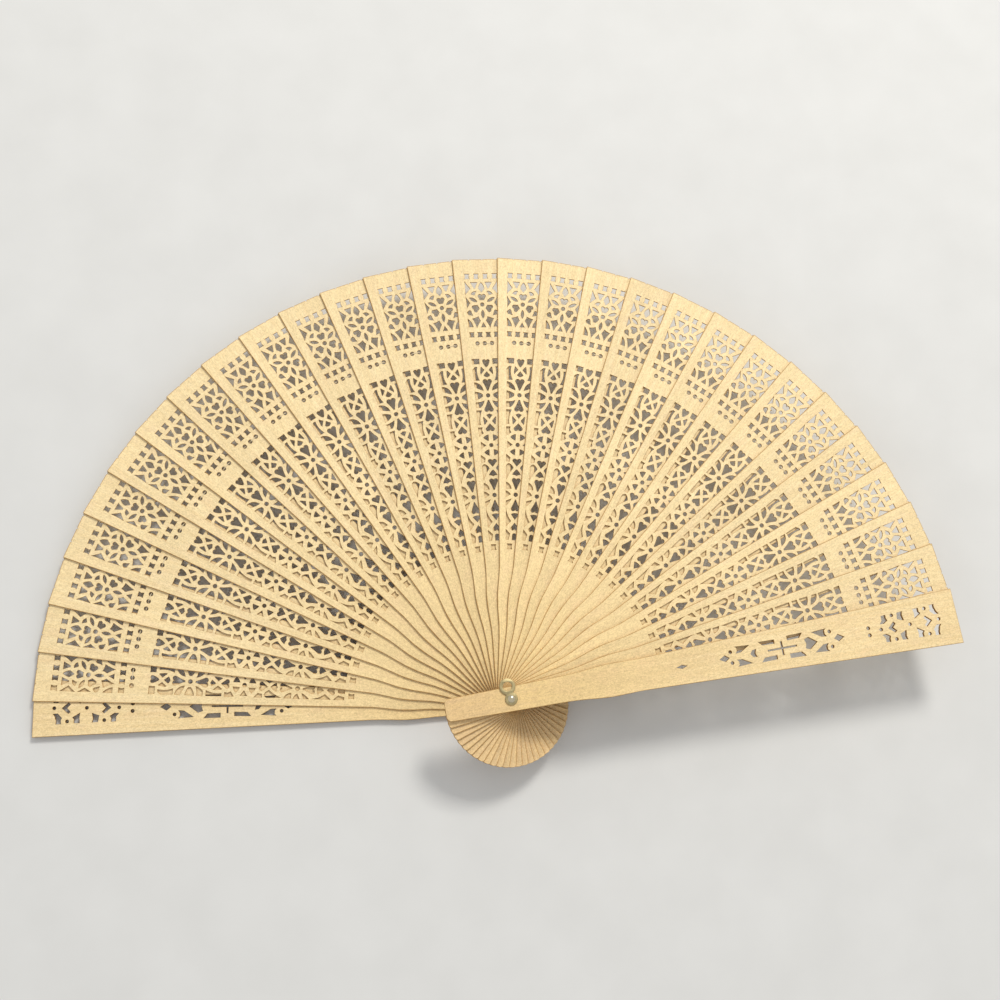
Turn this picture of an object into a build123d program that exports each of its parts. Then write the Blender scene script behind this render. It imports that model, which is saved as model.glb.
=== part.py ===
from build123d import *
import math
import os

# A folding hand fan of thin fretted wooden sticks on one rivet, shown open.
# Row frame: the rivet's axis is Z, its flat tail end lies in Z = 0, and the
# open fan is spread evenly about +Y. Every stick is drawn upright, with x
# across it and y from the rivet's axis to its tip, and is then turned and
# raised to its place. All lengths are in millimetres, all angles in degrees.

# ---- driving dimensions -------------------------------------------------
STICK_COUNT = 28          # thin fretted sticks between the two guards
TIP_RADIUS = 174.0        # rivet axis to the square tips
HEAD_RADIUS = 24.3        # rivet axis to the end of the heads
STICK_STEP = 5.924        # turn from each stick to the next
FIRST_STEP = 4.45         # turn from the back guard to the first stick
SPREAD = FIRST_STEP + STICK_STEP * STICK_COUNT

STICK_THICKNESS = 0.6
GUARD_THICKNESS = 1.5
STICK_GAP = 0.2           # air between neighbours, so that they slide
STICK_RISE = STICK_THICKNESS + STICK_GAP

PIN_RADIUS = 0.75
PIVOT_HOLE_RADIUS = 0.87
HEAD_DOME_RADIUS = 1.4
HEAD_DOME_HEIGHT = 0.65
TAIL_RADIUS = 1.5
TAIL_HEIGHT = 0.6
BACK_WASHER_RADIUS = 2.3
BACK_WASHER_THICKNESS = 0.4

LUG_THICKNESS = 0.5
LUG_GAP = 0.1             # air under and over the lug, so that it swivels
LUG_DISC_RADIUS = 2.3
LUG_RING_RADIUS = 2.93
LUG_EYE_RADIUS = 1.68
LUG_NECK_WIDTH = 2.9
LUG_REACH = 4.65          # rivet axis to the eye's centre
LUG_ANGLE = 103.5         # from +X

THREAD_ROW = 139.1        # height of the sticks' three thread holes
THREAD_HOLE_PITCH = 2.85
THREAD_HOLE_RADIUS = 0.8
GUARD_THREAD_ROW = 138.3
GUARD_THREAD_HOLE_X = 1.35
THREAD_EDGE_X = 10.0      # where the thread passes a stick's right edge
THREAD_WIDTH = 0.3
THREAD_HEIGHT = 0.14
THREAD_LIFT = 0.02        # air between the thread and the wood

# ---- heights of the stack -----------------------------------------------
WASHER_BASE = TAIL_HEIGHT
BACK_GUARD_BASE = WASHER_BASE + BACK_WASHER_THICKNESS
FIRST_STICK_BASE = BACK_GUARD_BASE + GUARD_THICKNESS + STICK_GAP
FRONT_GUARD_BASE = FIRST_STICK_BASE + STICK_RISE * STICK_COUNT
LUG_BASE = FRONT_GUARD_BASE + GUARD_THICKNESS + LUG_GAP
DOME_BASE = LUG_BASE + LUG_THICKNESS + LUG_GAP


def stick_base(number):
    """Height of the underside of a stick, counted from 1 at the back."""
    return FIRST_STICK_BASE + STICK_RISE * (number - 1)


def stick_turn(number):
    """Angle of a stick's centre line from +Y, positive to the left."""
    return SPREAD / 2 - FIRST_STEP - STICK_STEP * (number - 1)


# ---- cut-outs -----------------------------------------------------------
# A cut-out is a list of stations. The first is a point, and each later one
# is either a point, reached by a straight side, or a pair (through, point),
# reached by an arc. The last station joins the first by a straight side
# unless it is the same point.


def moved(station, move):
    """One station with move(x, y) applied to each of its points."""
    if isinstance(station[0], tuple):
        return (move(*station[0]), move(*station[1]))
    return move(*station)


def both(shape):
    """A cut-out and its mirror image across the centre line."""
    return [shape, [moved(station, lambda x, y: (-x, y)) for station in shape]]


def placed(shape, angle, x0, y0):
    """A cut-out drawn along +Y about the origin, turned and set at x0, y0."""
    turn = math.radians(angle)

    def move(x, y):
        return (x0 + x * math.cos(turn) - y * math.sin(turn),
                y0 + x * math.sin(turn) + y * math.cos(turn))

    return [moved(station, move) for station in shape]


def dot(x, y, radius):
    """A round hole as two half circles."""
    return [(x - radius, y), ((x, y + radius), (x + radius, y)), ((x, y - radius), (x - radius, y))]


def spool(x, y, width, height, hollow=0.28):
    """A small rectangle whose left and right sides curve inwards."""
    left = x - width / 2
    right = x + width / 2
    low = y - height / 2
    high = y + height / 2
    return [(left, low), (right, low), ((right - hollow, y), (right, high)), (left, high),
            ((left + hollow, y), (left, low))]


def bowed(points, hollow):
    """A polygon whose sides all curve inwards by the same depth."""
    middle_x = sum(point[0] for point in points) / len(points)
    middle_y = sum(point[1] for point in points) / len(points)
    shape = [points[0]]
    for start, end in zip(points, points[1:] + points[:1]):
        side_x = (start[0] + end[0]) / 2
        side_y = (start[1] + end[1]) / 2
        reach = math.hypot(middle_x - side_x, middle_y - side_y)
        through = (side_x + hollow * (middle_x - side_x) / reach,
                   side_y + hollow * (middle_y - side_y) / reach)
        shape.append((through, end))
    return shape


def heart(notch, tip, widest, half_width, blunt=0.0, waist=0.0):
    """
    A heart on the centre line, with round lobes. notch, tip and widest are
    heights; blunt is half the width of a cut-off tip, and waist draws the
    long sides inwards.
    """
    lobe_radius = (half_width ** 2 + (widest - notch) ** 2) / (2 * half_width)
    lobe = (lobe_radius, notch + math.copysign(lobe_radius, notch - tip))
    side = ((half_width + blunt) / 2 - waist, (widest + tip) / 2)
    shape = [(0.0, notch), (lobe, (half_width, widest))]
    shape.append((side, (blunt, tip)) if waist else (blunt, tip))
    if blunt:
        shape.append((-blunt, tip))
    shape.append(((-side[0], side[1]), (-half_width, widest)) if waist else (-half_width, widest))
    shape.append(((-lobe[0], lobe[1]), (0.0, notch)))
    return shape


def leaf(low, high, width):
    """A pointed petal on the centre line."""
    middle = (low + high) / 2
    return [(0.0, low), ((width / 2, middle), (0.0, high)), ((-width / 2, middle), (0.0, low))]


def mirrored_polygon(points):
    """A polygon on the centre line from the points of its right half, top to bottom."""
    left = [(-x, y) for x, y in reversed(points) if x > 0]
    return list(points) + left


# ---- fretwork of the thin sticks ----------------------------------------


def tip_rows():
    """Two rows of four spools and the three thread holes between the panels."""
    shapes = []
    for x in (1.83, 5.5):
        shapes += both(spool(x, 166.9, 2.05, 2.1))
    for x in (1.63, 4.87):
        shapes += both(spool(x, 142.65, 2.0, 2.0))
    for place in (-1, 0, 1):
        shapes.append(dot(place * THREAD_HOLE_PITCH, THREAD_ROW, THREAD_HOLE_RADIUS))
    return shapes


def rosette_panel():
    """Three hearts and three petals round a dot, in a frame of small pieces."""
    centre = 155.1
    heart_part = heart(3.5, 1.85, 3.45, 1.55, blunt=0.8)
    petal = leaf(2.25, 5.8, 1.28)
    shapes = [dot(0.0, centre, 0.8)]
    for turn in (0, 120, 240):
        shapes.append(placed(heart_part, turn, 0.0, centre))
        shapes.append(placed(petal, turn + 60, 0.0, centre))
    shapes += both(bowed([(6.45, 164.7), (4.35, 161.75), (6.45, 159.3)], 0.08))
    shapes += both([(1.5, 164.4), (4.3, 164.4), (2.95, 161.8), (2.5, 161.8)])
    shapes.append([(0.0, 164.3), ((0.85, 163.1), (1.2, 161.75)), (0.0, 160.15), (-1.2, 161.75),
                   ((-0.85, 163.1), (0.0, 164.3))])
    shapes += both([(2.2, 160.55), ((3.5, 160.4), (4.3, 159.4)), (2.9, 158.95)])
    shapes += both(bowed([(6.4, 158.3), (4.8, 155.8), (6.05, 153.7)], 0.07))
    shapes += both([(6.2, 151.8), ((5.65, 152.5), (4.95, 152.8)), (4.5, 152.3),
                    ((4.3, 151.4), (3.9, 150.5)), (5.75, 150.95)])
    shapes += both(bowed([(4.25, 149.3), (1.8, 150.15), (1.02, 148.45), (2.6, 145.5)], 0.13))
    shapes += both([(6.05, 149.25), ((4.75, 147.8), (4.05, 145.85)), (5.95, 145.85)])
    shapes.append(mirrored_polygon([(0.0, 147.65), (0.98, 145.7)]))
    return shapes


def upper_trellis():
    """The long panel from its top down to its first pair of long hearts."""
    shapes = both([(2.62, 132.75), (5.55, 132.75), (5.35, 130.6), (2.62, 130.65)])
    shapes.append(heart(131.75, 129.35, 131.9, 1.44, blunt=0.2, waist=-0.2))
    shapes += both([(2.0, 129.45), (0.88, 128.15), (2.3, 126.45), (2.5, 126.9), (2.25, 129.2)])
    shapes.append(mirrored_polygon([(0.0, 127.55), (1.25, 126.0), (0.9, 125.6), (0.0, 125.2)]))
    shapes += both([(5.4, 128.4), (5.1, 123.95), (2.95, 123.95), ((3.75, 126.6), (3.65, 129.45)),
                    (4.4, 129.5)])
    shapes.append(heart(123.5, 119.8, 123.2, 1.72, blunt=0.25, waist=0.1))
    shapes.append(dot(0.0, 117.85, 0.8))
    shapes.append(heart(112.15, 115.9, 112.5, 1.7, blunt=0.25, waist=0.1))
    shapes += both([(1.7, 119.8), ((2.95, 122.3), (5.1, 123.2)), (5.05, 121.35),
                    ((3.4, 120.45), (1.7, 119.8))])
    shapes += both([(2.1, 118.35), ((3.2, 118.98), (5.05, 119.45)), (5.0, 116.15),
                    ((3.3, 116.65), (2.1, 117.5))])
    shapes += both([(1.6, 115.75), ((3.2, 115.25), (5.0, 115.1)), (4.95, 113.05), (3.2, 113.0),
                    ((2.25, 114.15), (1.6, 115.75))])
    return shapes


def middle_trellis():
    """Side slots, the kite and the upright heart, down to the small dot."""
    shapes = both([(2.85, 111.85), (4.9, 111.85), (4.6, 106.1), (3.6, 106.1),
                   ((3.7, 108.8), (2.85, 111.85))])
    shapes.append(mirrored_polygon([(0.0, 110.5), (1.18, 109.95), (0.0, 108.45)]))
    shapes += both([(2.35, 109.25), (0.88, 107.6), (1.95, 106.1), (2.2, 106.35), (2.5, 108.9)])
    shapes.append(heart(104.35, 106.5, 104.55, 1.7))
    shapes += both([(3.05, 105.0), (4.7, 105.0), (4.4, 101.55), (2.7, 102.75), (3.3, 103.9)])
    shapes.append(dot(0.0, 97.9, 0.77))
    shapes += both([(2.9, 100.95), ((2.0, 101.7), (0.85, 102.1)), (0.92, 99.6),
                    ((2.05, 100.15), (2.9, 100.95))])
    shapes += both([(2.0, 97.9), (3.95, 99.25), (3.9, 96.65)])
    shapes += both([(2.85, 95.05), ((2.0, 95.8), (0.88, 96.2)), (0.92, 93.75),
                    ((2.0, 94.3), (2.85, 95.05))])
    shapes += both([(4.25, 94.05), (2.65, 92.8), (2.9, 91.2), (4.15, 91.2)])
    shapes.append(heart(91.5, 89.35, 91.4, 1.7))
    shapes += both([(3.1, 90.45), ((1.95, 89.75), (1.3, 88.7)), ((2.55, 86.9), (3.75, 84.2)),
                    (4.1, 88.9), ((3.85, 89.95), (3.1, 90.45))])
    return shapes


def lower_trellis():
    """The narrow foot of the long panel, ending in an arch and two spools."""
    shapes = [[(0.0, 88.15), ((0.98, 87.15), (1.6, 86.05)), ((0.7, 85.95), (0.0, 85.6)),
               ((-0.7, 85.95), (-1.6, 86.05)), ((-0.98, 87.15), (0.0, 88.15))]]
    shapes.append(heart(83.85, 80.2, 83.6, 1.62, blunt=0.2, waist=0.08))
    shapes += both([(3.85, 83.05), ((2.4, 82.05), (1.8, 80.45)), (3.75, 80.4)])
    shapes += both([(3.9, 79.65), ((2.8, 79.15), (1.95, 78.25)), (3.75, 77.15)])
    shapes.append(dot(0.0, 78.2, 0.8))
    shapes += both([(1.62, 76.55), (3.7, 75.7), (3.6, 73.75), ((2.5, 75.0), (1.62, 76.55))])
    shapes.append(heart(72.6, 76.25, 73.0, 1.55, blunt=0.15, waist=0.08))
    shapes.append([(0.0, 70.95), ((0.75, 70.85), (1.5, 70.5)), (0.0, 68.4), (-1.5, 70.5),
                   ((-0.75, 70.85), (0.0, 70.95))])
    shapes += both([(3.5, 72.5), ((2.65, 69.7), (1.45, 67.85)), (3.25, 65.7)])
    shapes.append(heart(65.0, 67.2, 65.3, 1.4))
    shapes += both([(3.3, 64.6), (1.65, 62.95), (2.15, 60.6), (3.1, 60.6)])
    shapes.append([(0.75, 60.5), (0.75, 62.3), ((0.0, 63.1), (-0.75, 62.3)), (-0.75, 60.5)])
    shapes += both(spool(1.62, 58.0, 2.0, 2.1))
    return shapes


def stick_fretwork():
    """All the cut-outs of a thin stick."""
    return tip_rows() + rosette_panel() + upper_trellis() + middle_trellis() + lower_trellis()


# ---- fretwork of the guards ---------------------------------------------


def guard_tip_panel():
    """Two motifs of four corner pieces, with chevrons and dots."""
    shapes = [dot(0.0, 166.5, 0.66), dot(0.0, 154.85, 0.66), dot(0.0, 143.2, 0.66)]
    shapes += both([(5.85, 165.85), ((4.8, 165.7), (3.9, 166.0)), ((2.9, 166.3), (2.05, 167.0)),
                    (1.95, 165.2), (3.6, 163.6), (4.3, 164.0), (5.8, 163.9)])
    shapes += both([(5.5, 159.35), (4.1, 159.3), (3.4, 159.9), (1.7, 157.15), (3.6, 157.4), (5.5, 157.15)])
    shapes += both([(5.35, 152.85), (4.1, 152.45), (1.85, 152.9), (2.8, 150.3), (5.2, 150.65)])
    shapes += both([(5.15, 146.0), (3.9, 145.95), (3.0, 146.4), (1.95, 144.8), (2.05, 143.15),
                    (3.2, 144.15), (5.0, 144.2)])
    shapes += both(dot(4.87, 161.7, 0.66))
    shapes += both(dot(4.55, 148.4, 0.66))
    for apex, side in ((163.8, -1), (146.1, 1)):
        foot = apex + side * 2.4
        shapes.append(mirrored_polygon([(0.0, apex), (2.1, foot), (1.4, foot + side * 0.8),
                                        (0.0, apex + side * 1.9)]))
    return shapes


def guard_long_panel():
    """Pieces set above and below a thin cross, closing with single diamonds."""
    shapes = []
    centre = 103.75
    for side in (1, -1):
        slim = 1.0 if side > 0 else 0.88

        def at(x, y):
            return (x * slim, centre + side * y)

        shapes += both([at(4.25, 18.0), at(3.6, 17.35), at(2.2, 17.35), at(1.33, 18.0),
                        at(1.5, 15.9), at(3.85, 12.3)])
        shapes += both([at(4.35, 8.7), at(2.65, 7.3), at(2.5, 2.5), at(4.2, 2.5)])
        shapes.append([at(0.0, 24.6), at(1.4, 22.3), at(0.0, 20.6), at(-1.4, 22.3)])
    for x, y in ((2.85, 123.05), (2.05, 83.8)):
        shapes += both(dot(x, y, 0.66))
    shapes.append(mirrored_polygon([(0.0, 117.7), (2.35, 114.5), (1.7, 112.75), (0.0, 113.3)]))
    shapes.append(mirrored_polygon([(0.0, 93.2), (1.5, 93.75), (1.25, 92.2), (0.0, 91.25)]))
    shapes.append([(-0.3, 98.1), (0.3, 98.1), (0.3, 103.4), (2.6, 103.4), (2.6, 104.1), (0.3, 104.1),
                   (0.3, 109.5), (-0.3, 109.5), (-0.3, 104.1), (-2.6, 104.1), (-2.6, 103.4), (-0.3, 103.4)])
    shapes.append(bowed([(0.0, 66.9), (0.75, 64.7), (0.0, 62.4), (-0.75, 64.7)], 0.08))
    return shapes


def guard_fretwork():
    """All the cut-outs of a guard."""
    shapes = guard_tip_panel() + guard_long_panel()
    shapes += both(dot(GUARD_THREAD_HOLE_X, GUARD_THREAD_ROW, 0.7))
    return shapes


# ---- blanks -------------------------------------------------------------


def shape_wire(shape):
    """The closed wire of a cut-out."""
    edges = []
    here = shape[0]
    for station in shape[1:]:
        if isinstance(station[0], tuple):
            edges.append(ThreePointArc(here, station[0], station[1]))
            here = station[1]
        else:
            edges.append(Line(here, station))
            here = station
    if math.dist(here, shape[0]) > 1e-6:
        edges.append(Line(here, shape[0]))
    return Wire([edge.edge() for edge in edges])


def blank_wire(tip_half, neck_half, bulge, shank, end_half, corner, nicks):
    """
    A stick's outline: straight tapering sides to a neck, a soft bulge where
    it narrows into the shank, and a head with rounded corners. bulge and
    shank are lists of (half width, height) that the S-bend passes through;
    nicks are places along the tip with a small notch.
    """
    neck_height = 50.0
    bend = [(neck_half, neck_height)] + bulge + shank
    head_side = (end_half, corner - HEAD_RADIUS)
    head_low = (end_half - corner, -HEAD_RADIUS)
    swing = corner * (1 - math.sqrt(0.5))
    tip = [(tip_half, TIP_RADIUS)]
    for x in nicks:
        tip += [(x + 0.3, TIP_RADIUS), (x, TIP_RADIUS - 0.55), (x - 0.3, TIP_RADIUS)]
    tip.append((-tip_half, TIP_RADIUS))

    def half(sign):
        def side(point):
            return (sign * point[0], point[1])

        sides = [Line(side((tip_half, TIP_RADIUS)), side(bend[0]))]
        taper = (neck_half - tip_half, neck_height - TIP_RADIUS)
        drop = (end_half - bend[-1][0], head_side[1] - bend[-1][1])
        sides.append(Spline([side(point) for point in bend], tangents=[side(taper), side(drop)]))
        sides.append(Line(side(bend[-1]), side(head_side)))
        sides.append(ThreePointArc(side(head_side), side((end_half - swing, swing - HEAD_RADIUS)),
                                   side(head_low)))
        return sides

    edges = half(1) + half(-1) + [Line(head_low, (-head_low[0], head_low[1]))]
    edges += [Line(start, end) for start, end in zip(tip, tip[1:])]
    return Wire([edge.edge() for edge in edges])


def make_blade(outline, cut_outs, thickness):
    """A flat fretted blade on the pivot, standing on Z = 0."""
    holes = [shape_wire(shape) for shape in cut_outs]
    holes.append(shape_wire(dot(0.0, 0.0, PIVOT_HOLE_RADIUS)))
    face = Face(outline, holes)
    return extrude(face, amount=thickness, dir=(0, 0, 1))


def make_stick():
    """A thin inner stick."""
    outline = blank_wire(tip_half=10.95, neck_half=5.15,
                         bulge=[(5.5, 40.0), (5.15, 34.0), (4.5, 28.5)], shank=[(4.2, 23.0)],
                         end_half=3.95, corner=1.2, nicks=(6.3, 1.0, -4.4))
    return make_blade(outline, stick_fretwork(), STICK_THICKNESS)


def make_guard():
    """A thick outer stick with its own fretwork."""
    outline = blank_wire(tip_half=10.5, neck_half=5.95,
                         bulge=[(6.1, 37.0), (5.75, 32.0), (5.15, 26.0)], shank=[(4.85, 20.0)],
                         end_half=4.15, corner=2.0, nicks=())
    return make_blade(outline, guard_fretwork(), GUARD_THICKNESS)


def set_in_fan(blade, angle, base):
    """A blade turned to its angle from +Y and raised to its place."""
    return Pos(0, 0, base) * Rot(0, 0, angle) * blade


# ---- metal parts --------------------------------------------------------


def make_rivet():
    """The pin with its domed head above and its flattened tail below."""
    head_top = DOME_BASE + HEAD_DOME_HEIGHT
    ease = 0.2
    dome_radius = (HEAD_DOME_RADIUS ** 2 + HEAD_DOME_HEIGHT ** 2) / (2 * HEAD_DOME_HEIGHT)
    dome_centre = head_top - dome_radius
    lean = math.asin(HEAD_DOME_RADIUS / dome_radius) / 2
    middle = (dome_radius * math.sin(lean), dome_centre + dome_radius * math.cos(lean))
    lower = Polyline((0, head_top), (0, 0), (TAIL_RADIUS - ease, 0), (TAIL_RADIUS, ease),
                     (TAIL_RADIUS, TAIL_HEIGHT), (PIN_RADIUS, TAIL_HEIGHT), (PIN_RADIUS, DOME_BASE),
                     (HEAD_DOME_RADIUS, DOME_BASE))
    dome = ThreePointArc((HEAD_DOME_RADIUS, DOME_BASE), middle, (0, head_top))
    profile = make_face(Plane.XZ * (lower + dome))
    return revolve(profile, axis=Axis.Z)


def make_back_washer():
    """The plain washer between the rivet's tail and the back guard."""
    ring = Circle(BACK_WASHER_RADIUS) - Circle(PIN_RADIUS + 0.05)
    return Pos(0, 0, WASHER_BASE) * extrude(ring, amount=BACK_WASHER_THICKNESS)


def make_ring_lug():
    """A disc under the rivet's head and a ring for a tassel, in one plate."""
    eye = (LUG_REACH, 0)
    neck = Pos(LUG_REACH / 2, 0) * Rectangle(LUG_REACH / 2, LUG_NECK_WIDTH)
    plate = Circle(LUG_DISC_RADIUS) + Pos(*eye) * Circle(LUG_RING_RADIUS) + neck
    plate -= Circle(PIVOT_HOLE_RADIUS)
    plate -= Pos(*eye) * Circle(LUG_EYE_RADIUS)
    lug = extrude(plate, amount=LUG_THICKNESS)
    return Pos(0, 0, LUG_BASE) * Rot(0, 0, LUG_ANGLE) * lug


# ---- lacing thread ------------------------------------------------------


def post(x, y, low, high):
    """An upright stretch of thread, through a hole or past an edge."""
    return Pos(x, y, low) * extrude(Circle(THREAD_WIDTH / 2), amount=high - low)


def strand(start, end, low):
    """A level stretch of thread with its underside at the height low."""
    length = math.dist(start, end)
    angle = math.degrees(math.atan2(end[1] - start[1], end[0] - start[0]))
    flat = Pos(length / 2, 0) * SlotCenterToCenter(length, THREAD_WIDTH)
    return Pos(start[0], start[1], low) * Rot(0, 0, angle) * extrude(flat, amount=THREAD_HEIGHT)


def round_point(x, y, angle):
    """A point of an upright stick, turned with that stick."""
    turn = math.radians(angle)
    return (x * math.cos(turn) - y * math.sin(turn), x * math.sin(turn) + y * math.cos(turn))


def make_lacing_thread():
    """
    The thread that stops the sticks spreading further. On each stick it
    comes up through the middle hole, lies across the front to the right
    hole, goes down there, and passes the stick's right edge to the back of
    the next stick, which lies higher.
    """
    parts = []
    under_drop = THREAD_LIFT + THREAD_HEIGHT
    guard_angle = SPREAD / 2
    guard_base = BACK_GUARD_BASE
    here = round_point(GUARD_THREAD_HOLE_X, GUARD_THREAD_ROW, guard_angle)
    side = round_point(10.3, THREAD_ROW, guard_angle)
    low = guard_base - under_drop
    left = round_point(-GUARD_THREAD_HOLE_X, GUARD_THREAD_ROW, guard_angle)
    parts.append(post(*left, low, low + 1.0))
    parts.append(strand(left, here, low))
    parts.append(strand(here, side, low))
    next_low = stick_base(1) - under_drop
    parts.append(post(*side, low, next_low + THREAD_HEIGHT))
    for number in range(1, STICK_COUNT + 1):
        angle = stick_turn(number)
        base = stick_base(number)
        low = base - under_drop
        top = base + STICK_THICKNESS + THREAD_LIFT
        middle = round_point(0, THREAD_ROW, angle)
        right = round_point(THREAD_HOLE_PITCH, THREAD_ROW, angle)
        parts.append(strand(side, middle, low))
        parts.append(post(*middle, low, top + THREAD_HEIGHT))
        parts.append(strand(middle, right, top))
        parts.append(post(*right, low, top + THREAD_HEIGHT))
        side = round_point(THREAD_EDGE_X, THREAD_ROW, angle)
        parts.append(strand(right, side, low))
        next_low = low + STICK_RISE
        parts.append(post(*side, low, next_low + THREAD_HEIGHT))
    angle = -SPREAD / 2
    low = FRONT_GUARD_BASE - under_drop
    end = round_point(-GUARD_THREAD_HOLE_X, GUARD_THREAD_ROW, angle)
    parts.append(strand(side, end, low))
    parts.append(post(*end, low, low + 1.0))
    thread = parts[0].fuse(*parts[1:])
    return thread


# ---- all the parts ------------------------------------------------------


def main():
    os.makedirs("parts", exist_ok=True)
    stick = make_stick()
    guard = make_guard()
    nodes = {
        "back_guard": set_in_fan(guard, SPREAD / 2, BACK_GUARD_BASE),
        "front_guard": set_in_fan(guard, -SPREAD / 2, FRONT_GUARD_BASE),
        "rivet": make_rivet(),
        "back_washer": make_back_washer(),
        "ring_lug": make_ring_lug(),
        "lacing_thread": make_lacing_thread(),
    }
    for number in range(1, STICK_COUNT + 1):
        nodes[f"stick_{number:02d}"] = set_in_fan(stick, stick_turn(number), stick_base(number))
    for name, solid in nodes.items():
        export_step(solid, f"parts/{name}.step")


if __name__ == "__main__":
    main()
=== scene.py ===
import bpy
import bmesh
import math
import random
from mathutils import Euler, Matrix, Vector


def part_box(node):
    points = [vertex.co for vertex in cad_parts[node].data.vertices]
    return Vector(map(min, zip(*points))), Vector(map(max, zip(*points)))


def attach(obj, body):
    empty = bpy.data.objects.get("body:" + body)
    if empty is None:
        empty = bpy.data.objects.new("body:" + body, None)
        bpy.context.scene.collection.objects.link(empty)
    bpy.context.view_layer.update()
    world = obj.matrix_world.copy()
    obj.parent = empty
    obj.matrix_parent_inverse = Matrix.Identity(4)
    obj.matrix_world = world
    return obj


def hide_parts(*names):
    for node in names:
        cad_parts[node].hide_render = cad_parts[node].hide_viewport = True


# A folding hand fan of thin fretted wooden sticks on one rivet, lying open.
# Everything is in metres in the row's frame: the rivet's axis is Z, the
# floor is Z = 0 and the fan is spread about +Y. Each blade is redrawn from
# its CAD outline with eased edges, in its own frame: x across the blade, y
# from the rivet to the tip.

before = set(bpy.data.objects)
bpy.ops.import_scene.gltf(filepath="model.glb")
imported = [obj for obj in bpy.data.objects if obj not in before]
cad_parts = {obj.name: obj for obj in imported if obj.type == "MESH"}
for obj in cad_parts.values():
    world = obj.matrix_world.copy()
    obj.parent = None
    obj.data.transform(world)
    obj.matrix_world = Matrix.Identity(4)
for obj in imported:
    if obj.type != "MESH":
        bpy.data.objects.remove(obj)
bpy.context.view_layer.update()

MM = 0.001
random.seed(28)

STICKS = sorted(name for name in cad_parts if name.startswith("stick_"))
GUARDS = ("back_guard", "front_guard")

# ---- sizes of the details that the blades and the thread get here --------
STICK_BEVEL = 0.08 * MM
GUARD_BEVEL = 0.14 * MM
LUG_BEVEL = 0.09 * MM
THREAD_WIDTH = 0.30 * MM
THREAD_HEIGHT = 0.12 * MM
THREAD_ROW = 139.1 * MM
THREAD_HOLE_PITCH = 2.85 * MM
THREAD_EDGE_X = 10.0 * MM
GUARD_THREAD_ROW = 138.3 * MM
GUARD_THREAD_HOLE_X = 1.35 * MM
GUARD_EDGE_X = 10.3 * MM         # where the thread passes the back guard's edge
THREAD_SINK = 0.09 * MM          # a blade's underside to the middle of the thread
THREAD_LIFT = 0.075 * MM         # a blade's top to the middle of the thread
HOLE_BEND = 0.35 * MM            # where the thread starts to bend into a hole
HOLE_LEAN = 0.05 * MM            # how far it leans over inside the hole
EDGE_BEND = 0.5 * MM             # where it starts to bend up past an edge
STITCH_START = -4.62 * MM        # where it comes from under the stick before
FRONT_END_START = -4.5 * MM      # and from under the front guard

# Half widths of the blades in millimetres, as (reach, half width): between
# these places they change evenly.
STICK_WIDTHS = ((-23.0, 3.95), (23.0, 4.2), (28.5, 4.5), (34.0, 5.15), (40.0, 5.5), (50.0, 5.15),
                (174.0, 10.95))
GUARD_WIDTHS = ((-22.0, 4.15), (20.0, 4.85), (26.0, 5.15), (32.0, 5.75), (37.0, 6.1), (50.0, 5.95),
                (174.0, 10.5))

# ---- how outlines are read and redrawn ------------------------------------
FACES_UP = 0.99                  # least upward part of a top face's normal
HOLE_SIDES = 28                  # sides of a redrawn round hole
HOLE_POINTS = 10                 # fewer points than this are no round hole
HOLE_SPREAD = 0.03               # how unevenly far from its middle one may be
WELD_GAP = 0.002                 # in millimetres
SLIVER_GAP = 0.0005
THREAD_SIDES = 10

# ---- view and light --------------------------------------------------------
LENS = 47.73
SENSOR = 36.0
CAMERA_PLACE = Vector((-56.47, -20.43, 509.75)) * MM
CAMERA_TURN = (11.605, -5.898, -5.901)
FLOOR_REACH = 3.0
LIGHT_AIM = Vector((0.0, 0.07, 0.0))
SKY_COLOUR = (0.96, 0.975, 1.0, 1.0)
SKY_STRENGTH = 0.70


# ---- node helpers --------------------------------------------------------


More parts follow.
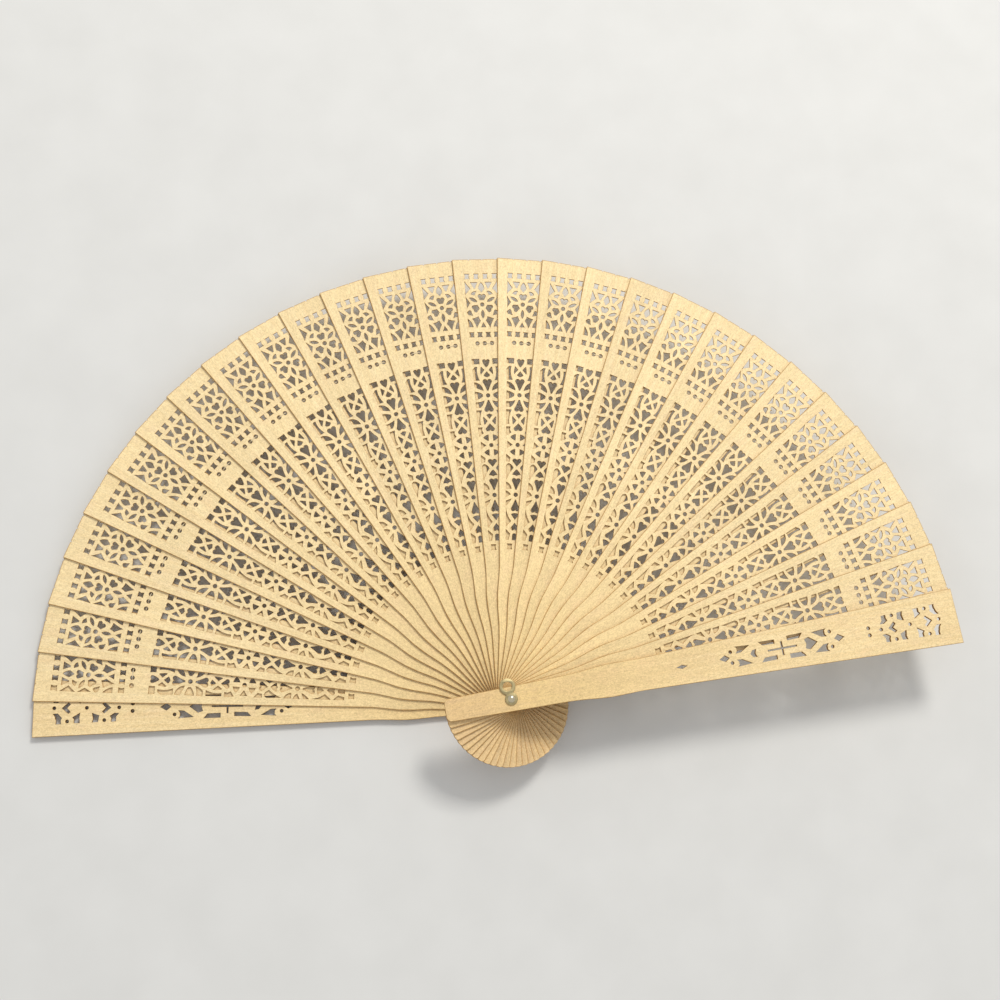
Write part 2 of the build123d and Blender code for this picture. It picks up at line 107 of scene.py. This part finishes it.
class Shader:
    """A small wrapper that adds nodes to a material and links them."""

    def __init__(self, name):
        self.material = bpy.data.materials.new(name)
        self.material.use_nodes = True
        self.tree = self.material.node_tree
        self.bsdf = self.tree.nodes["Principled BSDF"]

    def add(self, kind, inputs=None, **settings):
        node = self.tree.nodes.new(kind)
        for key, value in settings.items():
            setattr(node, key, value)
        for key, value in (inputs or {}).items():
            self.put(node.inputs[key], value)
        return node

    def put(self, socket, value):
        if isinstance(value, bpy.types.NodeSocket):
            self.tree.links.new(value, socket)
        else:
            socket.default_value = value

    def math(self, operation, *values):
        node = self.add("ShaderNodeMath", operation=operation)
        for socket, value in zip(node.inputs, values):
            self.put(socket, value)
        return node.outputs[0]

    def scaled(self, vector, scale):
        return self.add("ShaderNodeMapping", {"Vector": vector, "Scale": scale}).outputs[0]

    def noise(self, vector, scale, detail=2.0, roughness=0.5, distortion=0.0):
        values = {"Vector": vector, "Scale": scale, "Detail": detail, "Roughness": roughness,
                  "Distortion": distortion}
        return self.add("ShaderNodeTexNoise", values).outputs["Fac"]

    def ramp(self, value, stops):
        node = self.add("ShaderNodeValToRGB", {"Fac": value})
        elements = node.color_ramp.elements
        while len(elements) < len(stops):
            elements.new(0.5)
        for element, (place, shade) in zip(elements, stops):
            element.position = place
            element.color = shade if len(shade) == 4 else (*shade, 1.0)
        return node.outputs["Color"]

    def level(self, value, low, high, out_low=0.0, out_high=1.0):
        node = self.add("ShaderNodeMapRange", {"Value": value, "From Min": low, "From Max": high,
                                               "To Min": out_low, "To Max": out_high})
        return node.outputs["Result"]

    def mix(self, share, first, second, blend="MIX"):
        node = self.add("ShaderNodeMix", data_type="RGBA", blend_type=blend)
        self.put(node.inputs["Factor"], share)
        self.put(node.inputs["A"], first)
        self.put(node.inputs["B"], second)
        return node.outputs["Result"]

    def bump(self, height, strength, distance):
        node = self.add("ShaderNodeBump", {"Height": height, "Strength": strength, "Distance": distance})
        self.tree.links.new(node.outputs["Normal"], self.bsdf.inputs["Normal"])
        return node


# ---- materials -----------------------------------------------------------


def tinted(colour, factors):
    """A colour with each channel multiplied by its factor."""
    return tuple(channel * factor for channel, factor in zip(colour, factors))


def wood_colour(s, grain, reach, near_rivet, pale, deep, pore_share):
    """Streaks, fibres and pores in pale wood, tinted deeper towards the rivet, with painted shade on the
    heads (a darker, pinker tone for the front guard's shadow) and a faint blush in places.
    """
    streak = s.noise(s.scaled(grain, (0.9, 0.03, 1.0)), 1.0, 3.0, 0.55, 0.4)
    fibre = s.noise(s.scaled(grain, (3.6, 0.4, 3.0)), 1.0, 3.0, 0.65, 0.5)
    pores = s.noise(s.scaled(grain, (4.6, 0.9, 3.0)), 1.0, 1.0, 0.5, 0.2)
    blush = s.noise(s.scaled(grain, (0.22, 0.12, 0.2)), 1.0, 2.0, 0.6)
    dark = tinted(deep, (0.6, 0.6, 0.6, 1.0))

    colour = s.mix(near_rivet, pale, tinted(pale, (0.985, 0.895, 0.70, 1.0)))
    colour = s.mix(s.level(streak, 0.34, 0.68, 0.0, 0.6), colour, deep)
    colour = s.mix(s.level(fibre, 0.42, 0.66, 0.0, 0.6), colour, deep)
    colour = s.mix(s.level(pores, 0.66, 0.72, 0.0, pore_share), colour, dark)
    # Painted shade: the heads lie in the front guard's shadow, so from 4 mm reach down to -10 mm they fade
    # into a darker, pinker tone.
    painted_head_shade = s.mix(1.0, colour, (0.93, 0.895, 0.94, 1.0), "MULTIPLY")
    colour = s.mix(s.level(reach, 4.0, -10.0), colour, painted_head_shade)
    rosy = s.mix(1.0, colour, (1.0, 0.955, 1.02, 1.0), "MULTIPLY")
    colour = s.mix(s.level(blush, 0.5, 0.72, 0.0, 0.5), colour, rosy)
    return colour, fibre, pores


def wood_shade(s, grain, tone, near_rivet, mottle):
    """A grey factor: clouds, the blade's own tone, mottling, a slanting hatch, and a little darker towards
    the rivet.
    """
    cloud = s.noise(s.scaled(grain, (0.11, 0.035, 0.1)), 1.0, 2.0, 0.5)
    slant = {"Vector": grain, "Rotation": (0.0, 0.0, math.radians(34.0)), "Scale": (3.2, 0.5, 2.0)}
    hatch = s.noise(s.add("ShaderNodeMapping", slant).outputs[0], 1.0, 2.0, 0.6)
    shade = s.math("ADD", s.level(cloud, 0.3, 0.7, 0.965, 1.035), s.math("MULTIPLY", tone, 0.035))
    shade = s.math("ADD", shade, s.level(mottle, 0.36, 0.64, -0.15, 0.12))
    shade = s.math("ADD", shade, s.level(hatch, 0.36, 0.64, -0.05, 0.05))
    shade = s.math("SUBTRACT", shade, s.math("MULTIPLY", near_rivet, 0.05))
    return s.add("ShaderNodeCombineColor", {"Red": shade, "Green": shade, "Blue": shade}).outputs[0]


def browned_sides(s, reach, across, widths, band):
    """How brown the cutter left a place: strongest at a blade's side or tip, none past the band."""
    half = widths[0][1]
    for (low, narrow), (high, wide) in zip(widths, widths[1:]):
        half = s.math("ADD", half, s.level(reach, low, high, 0.0, wide - narrow))
    margin = s.math("SUBTRACT", half, s.math("ABSOLUTE", across))
    margin = s.math("MINIMUM", margin, s.math("SUBTRACT", widths[-1][0], reach))
    return s.level(margin, 0.25 * band, band, 0.85, 0.0)


def wood_material(name, pale, deep, cut, pore_share, full_cut, widths, band):
    """
    Close-grained wood, deeper towards the rivet. Attribute grain holds the
    blade's own place in millimetres, shifted for each blade, reach and across
    are the distances along and across it, tone is a shade for each blade, and
    cut is 1 on sawn walls. full_cut is the slope from which a wall shows the
    cut colour alone.
    """
    s = Shader(name)
    grain = s.add("ShaderNodeAttribute", attribute_name="grain").outputs["Vector"]
    reach = s.add("ShaderNodeAttribute", attribute_name="reach").outputs["Fac"]
    across = s.add("ShaderNodeAttribute", attribute_name="across").outputs["Fac"]
    tone = s.add("ShaderNodeAttribute", attribute_name="tone").outputs["Fac"]
    wall = s.add("ShaderNodeAttribute", attribute_name="cut").outputs["Fac"]

    # 1 near the rivet, fading to 0 by 95 mm out: there the wood is tinted deeper and made slightly darker.
    near_rivet = s.level(reach, 10.0, 95.0, 1.0, 0.0)
    mottle = s.noise(s.scaled(grain, (2.1, 1.5, 2.0)), 1.0, 3.0, 0.75, 0.3)
    colour, fibre, pores = wood_colour(s, grain, reach, near_rivet, pale, deep, pore_share)
    colour = s.mix(1.0, colour, wood_shade(s, grain, tone, near_rivet, mottle), "MULTIPLY")
    scorch = s.noise(s.scaled(grain, (1.5, 1.5, 3.0)), 1.0, 2.0)
    wall_colour = s.mix(s.level(scorch, 0.35, 0.7), cut, tinted(cut, (0.6, 0.6, 0.6, 1.0)))
    colour = s.mix(browned_sides(s, reach, across, widths, band), colour, wall_colour)
    colour = s.mix(s.level(wall, 0.0, full_cut), colour, wall_colour)

    s.put(s.bsdf.inputs["Base Color"], colour)
    s.put(s.bsdf.inputs["Roughness"], s.level(fibre, 0.3, 0.7, 0.56, 0.74))
    s.bsdf.inputs["Specular IOR Level"].default_value = 0.3
    relief = s.math("ADD", s.math("MULTIPLY", fibre, 0.5), s.math("MULTIPLY", mottle, 0.6))
    relief = s.math("SUBTRACT", relief, s.math("MULTIPLY", s.level(pores, 0.6, 0.74), 0.4))
    s.bump(relief, 0.5, 0.12 * MM)
    return s.material


def metal_material(name, base, rough, scratch):
    """Metal with faint rubbing and a dulled film."""
    s = Shader(name)
    place = s.add("ShaderNodeTexCoord").outputs["Object"]
    fine = s.noise(s.scaled(place, (4000.0, 1200.0, 4000.0)), 1.0, 3.0, 0.6)
    film = s.noise(s.scaled(place, (600.0, 600.0, 600.0)), 1.0, 2.0, 0.5)
    darker = tinted(base, (0.72, 0.72, 0.72, 1.0))
    s.put(s.bsdf.inputs["Base Color"], s.mix(s.level(film, 0.4, 0.75), base, darker))
    s.bsdf.inputs["Metallic"].default_value = 1.0
    s.put(s.bsdf.inputs["Roughness"], s.level(fine, 0.3, 0.7, rough, rough + 0.14))
    s.bump(fine, scratch, 0.01 * MM)
    return s.material


def thread_material():
    """Cream thread of two plies, twisted along its run."""
    s = Shader("cream_thread")
    run = s.add("ShaderNodeAttribute", attribute_name="grain").outputs["Vector"]
    twist = {"Vector": run, "Scale": 1.6, "Distortion": 0.6, "Detail": 1.0}
    ply = s.add("ShaderNodeTexWave", twist, wave_type="BANDS", bands_direction="DIAGONAL").outputs["Fac"]
    fuzz = s.noise(s.scaled(run, (9.0, 9.0, 9.0)), 1.0, 2.0)
    colour = s.mix(s.level(ply, 0.1, 0.9), (0.66, 0.52, 0.30, 1.0), (0.82, 0.68, 0.44, 1.0))
    s.put(s.bsdf.inputs["Base Color"], s.mix(s.level(fuzz, 0.3, 0.8, 0.0, 0.35), colour,
                                             (0.88, 0.76, 0.54, 1.0)))
    s.bsdf.inputs["Roughness"].default_value = 0.85
    s.bsdf.inputs["Sheen Weight"].default_value = 0.2
    s.bump(s.math("ADD", ply, s.math("MULTIPLY", fuzz, 0.5)), 0.6, 0.04 * MM)
    return s.material


STICK_WOOD = wood_material("stick_basswood", pale=(0.91, 0.725, 0.41, 1.0), deep=(0.80, 0.595, 0.30, 1.0),
                           cut=(0.46, 0.225, 0.045, 1.0), pore_share=0.35, full_cut=0.1,
                           widths=STICK_WIDTHS, band=0.32)
GUARD_WOOD = wood_material("guard_basswood", pale=(0.87, 0.68, 0.375, 1.0), deep=(0.76, 0.55, 0.265, 1.0),
                           cut=(0.46, 0.24, 0.06, 1.0), pore_share=0.5, full_cut=0.9,
                           widths=GUARD_WIDTHS, band=0.26)
RIVET_METAL = metal_material("rivet_nickel", (0.66, 0.58, 0.40, 1.0), rough=0.22, scratch=0.12)
WASHER_METAL = metal_material("washer_nickel", (0.55, 0.55, 0.50, 1.0), rough=0.34, scratch=0.3)
LUG_METAL = metal_material("lug_brass", (0.47, 0.385, 0.20, 1.0), rough=0.42, scratch=0.25)
THREAD = thread_material()


# ---- plates redrawn from the CAD -----------------------------------------


def top_loops(node):
    """The closed outlines of a plate's top face, in millimetres, round holes redrawn round."""
    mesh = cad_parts[node].data
    weld = {}
    ids = []
    for vertex in mesh.vertices:
        key = tuple(round(c * 1e6) for c in vertex.co)
        ids.append(weld.setdefault(key, len(weld)))
    places = {number: (key[0] / 1000, key[1] / 1000) for key, number in weld.items()}
    edges = set()
    for face in mesh.polygons:
        if face.normal.z > FACES_UP:
            ring = [ids[index] for index in face.vertices]
            edges.update(zip(ring, ring[1:] + ring[:1]))
    following = {start: end for start, end in edges if (end, start) not in edges}
    loops = []
    while following:
        start, here = next(iter(sorted(following.items())))
        del following[start]
        loop = [start]
        while here != start:
            loop.append(here)
            here = following.pop(here)
        loops.append([Vector(places[number]) for number in loop])
    return [round_hole(loop) for loop in loops]


def round_hole(loop):
    """A loop as it is, or as an even circle if its points lie on one."""
    middle = sum(loop, Vector((0.0, 0.0))) / len(loop)
    reach = [(point - middle).length for point in loop]
    mean = sum(reach) / len(reach)
    if len(loop) < HOLE_POINTS or max(reach) - min(reach) > HOLE_SPREAD * mean:
        return loop
    turns = [2 * math.pi * k / HOLE_SIDES for k in range(HOLE_SIDES)]
    return [middle + mean * Vector((math.cos(turn), math.sin(turn))) for turn in turns]


def area_of(loop):
    """Signed area of a closed loop."""
    return sum(a.cross(b) for a, b in zip(loop, loop[1:] + loop[:1])) / 2


def lean_of(loops):
    """The angle of a blade's centre line from +Y, from the mirror symmetry of its outline."""
    outline = max(loops, key=lambda loop: abs(area_of(loop)))
    middle = Vector((0.0, 0.0))
    for a, b in zip(outline, outline[1:] + outline[:1]):
        middle += (a + b) * a.cross(b)
    return math.atan2(-middle.x, middle.y)


def turned(loop, angle):
    """A loop turned about the rivet."""
    turn = Matrix.Rotation(angle, 2)
    return [turn @ point for point in loop]


def plate_mesh(name, loops, thickness, bevel):
    """A flat plate with eased edges, its mid-plane at z = 0, in metres."""
    curve = bpy.data.curves.new(name, "CURVE")
    curve.dimensions = "2D"
    curve.fill_mode = "BOTH"
    curve.extrude = (thickness / 2 - bevel) / MM
    curve.bevel_depth = bevel / MM
    curve.offset = -bevel / MM
    curve.bevel_resolution = 1
    for loop in loops:
        spline = curve.splines.new("POLY")
        spline.points.add(len(loop) - 1)
        for point, place in zip(spline.points, loop):
            point.co = (place.x, place.y, 0.0, 1.0)
        spline.use_cyclic_u = True
    holder = bpy.data.objects.new(name, curve)
    bpy.context.scene.collection.objects.link(holder)
    bpy.context.view_layer.update()
    mesh = bpy.data.meshes.new_from_object(holder.evaluated_get(bpy.context.evaluated_depsgraph_get()))
    bpy.data.objects.remove(holder)
    bpy.data.curves.remove(curve)
    shape = bmesh.new()
    shape.from_mesh(mesh)
    bmesh.ops.remove_doubles(shape, verts=shape.verts, dist=WELD_GAP)
    bmesh.ops.dissolve_degenerate(shape, dist=SLIVER_GAP, edges=shape.edges)
    bmesh.ops.recalc_face_normals(shape, faces=shape.faces)
    shape.to_mesh(mesh)
    shape.free()
    mesh.transform(Matrix.Scale(MM, 4))
    mesh.name = name
    return mesh


def mark_blade(mesh, number, tone):
    """The blade's own place, shade and cut walls, for its wood."""
    shift = Vector((37.0 * number, 211.0 * number, 13.0 * number))
    grain = mesh.attributes.new("grain", "FLOAT_VECTOR", "POINT")
    for vertex, item in zip(mesh.vertices, grain.data):
        item.vector = vertex.co / MM + shift
    reach = mesh.attributes.new("reach", "FLOAT", "POINT")
    reach.data.foreach_set("value", [vertex.co.y / MM for vertex in mesh.vertices])
    across = mesh.attributes.new("across", "FLOAT", "POINT")
    across.data.foreach_set("value", [vertex.co.x / MM for vertex in mesh.vertices])
    shade = mesh.attributes.new("tone", "FLOAT", "POINT")
    shade.data.foreach_set("value", [tone] * len(mesh.vertices))
    cut = mesh.attributes.new("cut", "FLOAT", "FACE")
    cut.data.foreach_set("value", [1.0 - abs(face.normal.z) for face in mesh.polygons])


def add_piece(name, mesh, material, body, matrix):
    """A finished piece in the scene, riding on its body."""
    mesh.materials.clear()
    mesh.materials.append(material)
    piece = bpy.data.objects.new(name, mesh)
    bpy.context.scene.collection.objects.link(piece)
    piece.matrix_world = matrix
    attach(piece, body)
    return piece


def seat(node, angle):
    """Where a blade's own frame lies in the row: turned about the rivet, at its mid-plane."""
    low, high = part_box(node)
    return Matrix.Translation((0.0, 0.0, (low.z + high.z) / 2)) @ Matrix.Rotation(angle, 4, "Z")


def thickness_of(node):
    low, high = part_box(node)
    return high.z - low.z


def build_blades():
    """All sticks from one shape, and both guards from another."""
    stick_lean = {node: lean_of(top_loops(node)) for node in STICKS}
    first = STICKS[0]
    stick = plate_mesh("stick", [turned(loop, -stick_lean[first]) for loop in top_loops(first)],
                       thickness_of(first), STICK_BEVEL)
    for number, node in enumerate(STICKS, start=1):
        mesh = stick.copy()
        mark_blade(mesh, number, random.uniform(-1.0, 1.0))
        piece = add_piece(f"{node}_blade", mesh, STICK_WOOD, node,
                          seat(node, stick_lean[node]))
        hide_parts(node)
    for number, node in enumerate(GUARDS, start=50):
        loops = top_loops(node)
        lean = lean_of(loops)
        mesh = plate_mesh(node, [turned(loop, -lean) for loop in loops], thickness_of(node), GUARD_BEVEL)
        mark_blade(mesh, number, 0.0)
        piece = add_piece(f"{node}_blade", mesh, GUARD_WOOD, node, seat(node, lean))
        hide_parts(node)
    return stick_lean


def build_metal():
    """The lug with eased edges, and finishes for the rivet and its washer."""
    low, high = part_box("ring_lug")
    mesh = plate_mesh("ring_lug", top_loops("ring_lug"), thickness_of("ring_lug"), LUG_BEVEL)
    for face in mesh.polygons:
        face.use_smooth = True
    lug = add_piece("ring_lug_plate", mesh, LUG_METAL, "ring_lug",
                    Matrix.Translation((0.0, 0.0, (low.z + high.z) / 2)))
    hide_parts("ring_lug")
    for node, material in (("rivet", RIVET_METAL), ("back_washer", WASHER_METAL)):
        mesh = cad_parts[node].data
        mesh.materials.clear()
        mesh.materials.append(material)


# ---- lacing thread -------------------------------------------------------


def ribbon_mesh(name, path):
    """
    A flattened thread along a path in the blade's own XZ plane, as pairs
    (x, z). Its width lies along y, and both ends are closed.
    """
    shape = bmesh.new()
    rings = []
    run = 0.0
    runs = []
    for index, (x, z) in enumerate(path):
        before = Vector(path[max(index - 1, 0)])
        after = Vector(path[min(index + 1, len(path) - 1)])
        along = (after - before).normalized()
        normal = Vector((-along.y, along.x))
        if index:
            run += (Vector(path[index]) - before).length
        ring = []
        for k in range(THREAD_SIDES):
            turn = 2 * math.pi * k / THREAD_SIDES
            up = math.sin(turn) * THREAD_HEIGHT / 2
            ring.append(shape.verts.new((x + normal.x * up, math.cos(turn) * THREAD_WIDTH / 2,
                                         z + normal.y * up)))
            runs.append((run / MM, turn / math.pi))
        rings.append(ring)
    for here, there in zip(rings, rings[1:]):
        for k in range(THREAD_SIDES):
            after = (k + 1) % THREAD_SIDES
            shape.faces.new((here[k], here[after], there[after], there[k]))
    shape.faces.new(rings[0])
    shape.faces.new(rings[-1])
    bmesh.ops.recalc_face_normals(shape, faces=shape.faces)
    mesh = bpy.data.meshes.new(name)
    shape.to_mesh(mesh)
    shape.free()
    for face in mesh.polygons:
        face.use_smooth = True
    grain = mesh.attributes.new("grain", "FLOAT_VECTOR", "POINT")
    for (along, around), item in zip(runs, grain.data):
        item.vector = (along, around, 0.0)
    return mesh


def smooth_path(points, rounds=3):
    """Corners of a path cut repeatedly, so that the thread bends softly."""
    for _ in range(rounds):
        cut = [points[0]]
        for (ax, az), (bx, bz) in zip(points, points[1:]):
            cut.append((0.75 * ax + 0.25 * bx, 0.75 * az + 0.25 * bz))
            cut.append((0.25 * ax + 0.75 * bx, 0.25 * az + 0.75 * bz))
        cut.append(points[-1])
        points = cut
    return points


def build_thread(stick_lean):
    """One stitch on each stick, and an end on each guard."""
    half = thickness_of(STICKS[0]) / 2
    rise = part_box(STICKS[1])[0].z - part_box(STICKS[0])[0].z
    under = -half - THREAD_SINK
    over = half + THREAD_LIFT
    right = THREAD_HOLE_PITCH
    edge = THREAD_EDGE_X
    stitch = [(STITCH_START, under), (-HOLE_BEND, under), (-HOLE_LEAN, -0.5 * half), (HOLE_LEAN, 0.5 * half),
              (HOLE_BEND, over), (right - HOLE_BEND, over), (right - HOLE_LEAN, 0.5 * half),
              (right + HOLE_LEAN, -0.5 * half), (right + HOLE_BEND, under), (edge - EDGE_BEND, under),
              (edge, under + 0.3 * rise), (edge, under + 0.85 * rise)]
    for node in STICKS:
        mesh = ribbon_mesh("stitch", smooth_path(stitch))
        place = seat(node, stick_lean[node]) @ Matrix.Translation((0.0, THREAD_ROW, 0.0))
        add_piece(f"{node}_stitch", mesh, THREAD, node, place)
    for node in GUARDS:
        half = thickness_of(node) / 2
        low = -half - THREAD_SINK
        x = GUARD_THREAD_HOLE_X
        if node == "back_guard":
            run = [(-x, 0.3 * half), (-x, -0.6 * half), (-x + 0.3 * MM, low), (GUARD_EDGE_X - EDGE_BEND, low),
                   (GUARD_EDGE_X, low + 0.3 * half), (GUARD_EDGE_X, half + 0.1 * MM)]
        else:
            run = [(FRONT_END_START, low), (-x - 0.3 * MM, low), (-x, -0.6 * half), (-x, 0.3 * half)]
        mesh = ribbon_mesh("thread_end", smooth_path(run))
        place = seat(node, lean_of(top_loops(node))) @ Matrix.Translation((0.0, GUARD_THREAD_ROW, 0.0))
        piece = add_piece(f"{node}_thread_end", mesh, THREAD, node, place)
        if node == "back_guard":
            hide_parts("lacing_thread")


# ---- stage ---------------------------------------------------------------


def build_floor():
    """A plain pale floor under the fan."""
    mesh = bpy.data.meshes.new("floor")
    signs = ((-1, -1), (1, -1), (1, 1), (-1, 1))
    corners = [(FLOOR_REACH * x, FLOOR_REACH * y, 0.0) for x, y in signs]
    mesh.from_pydata(corners, [], [(0, 1, 2, 3)])
    s = Shader("pale_floor")
    place = s.add("ShaderNodeTexCoord").outputs["Object"]
    mottle = s.noise(s.scaled(place, (40.0, 40.0, 40.0)), 1.0, 3.0)
    s.put(s.bsdf.inputs["Base Color"], s.mix(s.level(mottle, 0.3, 0.7), (0.66, 0.65, 0.62, 1.0),
                                             (0.69, 0.68, 0.65, 1.0)))
    s.bsdf.inputs["Roughness"].default_value = 0.9
    mesh.materials.append(s.material)
    floor = bpy.data.objects.new("floor", mesh)
    bpy.context.scene.collection.objects.link(floor)


def add_area(name, azimuth, elevation, distance, size, power, colour):
    """A soft square light that looks at the fan's middle, at angles in degrees."""
    side = math.cos(math.radians(elevation))
    away = Vector((side * math.cos(math.radians(azimuth)), side * math.sin(math.radians(azimuth)),
                   math.sin(math.radians(elevation))))
    light = bpy.data.lights.new(name, "AREA")
    light.shape = "SQUARE"
    light.size = size
    light.energy = power
    light.color = colour
    lamp = bpy.data.objects.new(name, light)
    bpy.context.scene.collection.objects.link(lamp)
    lamp.location = LIGHT_AIM + away * distance
    lamp.rotation_euler = (-away).to_track_quat("-Z", "Y").to_euler()


def build_light():
    """A broad key from beyond the tips on the right, and a soft pale sky."""
    add_area("key", azimuth=62.0, elevation=50.0, distance=1.6, size=0.36, power=15.5,
             colour=(1.0, 0.985, 0.95))
    world = bpy.data.worlds.new("soft_studio")
    world.use_nodes = True
    sky = world.node_tree.nodes["Background"]
    sky.inputs["Color"].default_value = SKY_COLOUR
    sky.inputs["Strength"].default_value = SKY_STRENGTH
    bpy.context.scene.world = world
    bpy.context.scene.view_settings.view_transform = "Standard"


def build_camera():
    """A phone-like view from above, a little to the left of the rivet."""
    lens = bpy.data.cameras.new("camera")
    lens.sensor_width = SENSOR
    lens.lens = LENS
    lens.clip_start = 0.01
    camera = bpy.data.objects.new("camera", lens)
    bpy.context.scene.collection.objects.link(camera)
    camera.location = CAMERA_PLACE
    camera.rotation_euler = Euler([math.radians(turn) for turn in CAMERA_TURN], "XYZ")
    bpy.context.scene.camera = camera


stick_lean = build_blades()
build_metal()
build_thread(stick_lean)
build_floor()
build_light()
build_camera()
